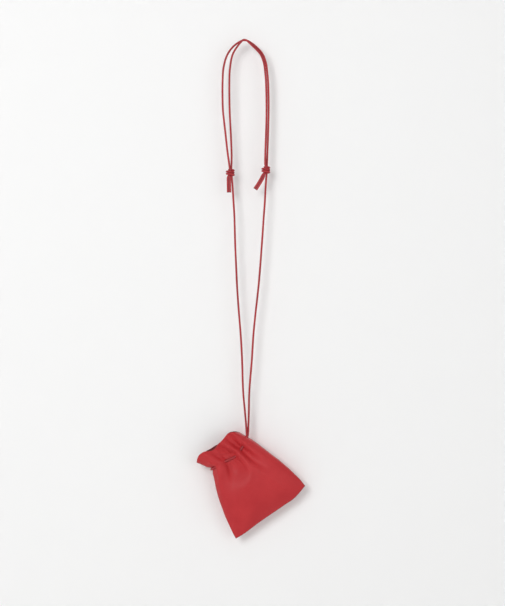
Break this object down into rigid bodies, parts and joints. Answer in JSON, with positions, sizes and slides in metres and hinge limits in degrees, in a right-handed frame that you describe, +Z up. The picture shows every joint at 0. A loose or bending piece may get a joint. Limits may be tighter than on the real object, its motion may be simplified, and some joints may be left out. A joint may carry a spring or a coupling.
{
  "type": "drawstring pouch",
  "caption": "Leather drawstring pouch with a gathered neck, hanging by its own cord, whose ends are tied back with sliding knots that set the strap's length.",
  "frame": {"origin": "the point of the hook that the cord rests on, under the top of the strap's loop", "axes": "+Z up along the strap, +X to the right seen from the front, -Y out of the pouch's front panel"},
  "size_m": [0.163, 0.0386, 0.7494],
  "materials": {
    "panel_leather": "smooth, slightly matte",
    "cord_leather": "smooth, satin"
  },
  "bodies": {
    "strap": {"strap_inner_through_strand": "cord_leather", "strap_outer_through_strand": "cord_leather", "strap_inner_end_strand": "cord_leather", "strap_outer_end_strand": "cord_leather"},
    "pouch": {"pouch_front_panel": "panel_leather", "pouch_back_panel": "panel_leather", "neck_drawstring": "cord_leather"},
    "left_knot": {"left_knot": "cord_leather", "left_cord_end": "cord_leather"},
    "right_knot": {"right_knot": "cord_leather", "right_cord_end": "cord_leather"}
  },
  "joints": [
    {"name": "strap_adjust", "type": "slide", "parent": "strap", "child": "pouch", "axis": [0, 0, 1], "range_m": [-0.06, 0.1], "deforming": ["strap_inner_through_strand", "strap_outer_through_strand"]},
    {"name": "left_knot_slide", "type": "slide", "parent": "strap", "child": "left_knot", "axis": [0.0619, 0, -0.9981], "range_m": [-0.06, 0.1], "deforming": ["strap_outer_end_strand"]},
    {"name": "right_knot_slide", "type": "slide", "parent": "strap", "child": "right_knot", "axis": [-0.0678, 0, -0.9977], "range_m": [-0.06, 0.1], "deforming": ["strap_inner_end_strand"]}
  ],
  "couplings": [
    {"joint": "left_knot_slide", "follows": "strap_adjust", "ratio": 1},
    {"joint": "right_knot_slide", "follows": "strap_adjust", "ratio": 1}
  ]
}
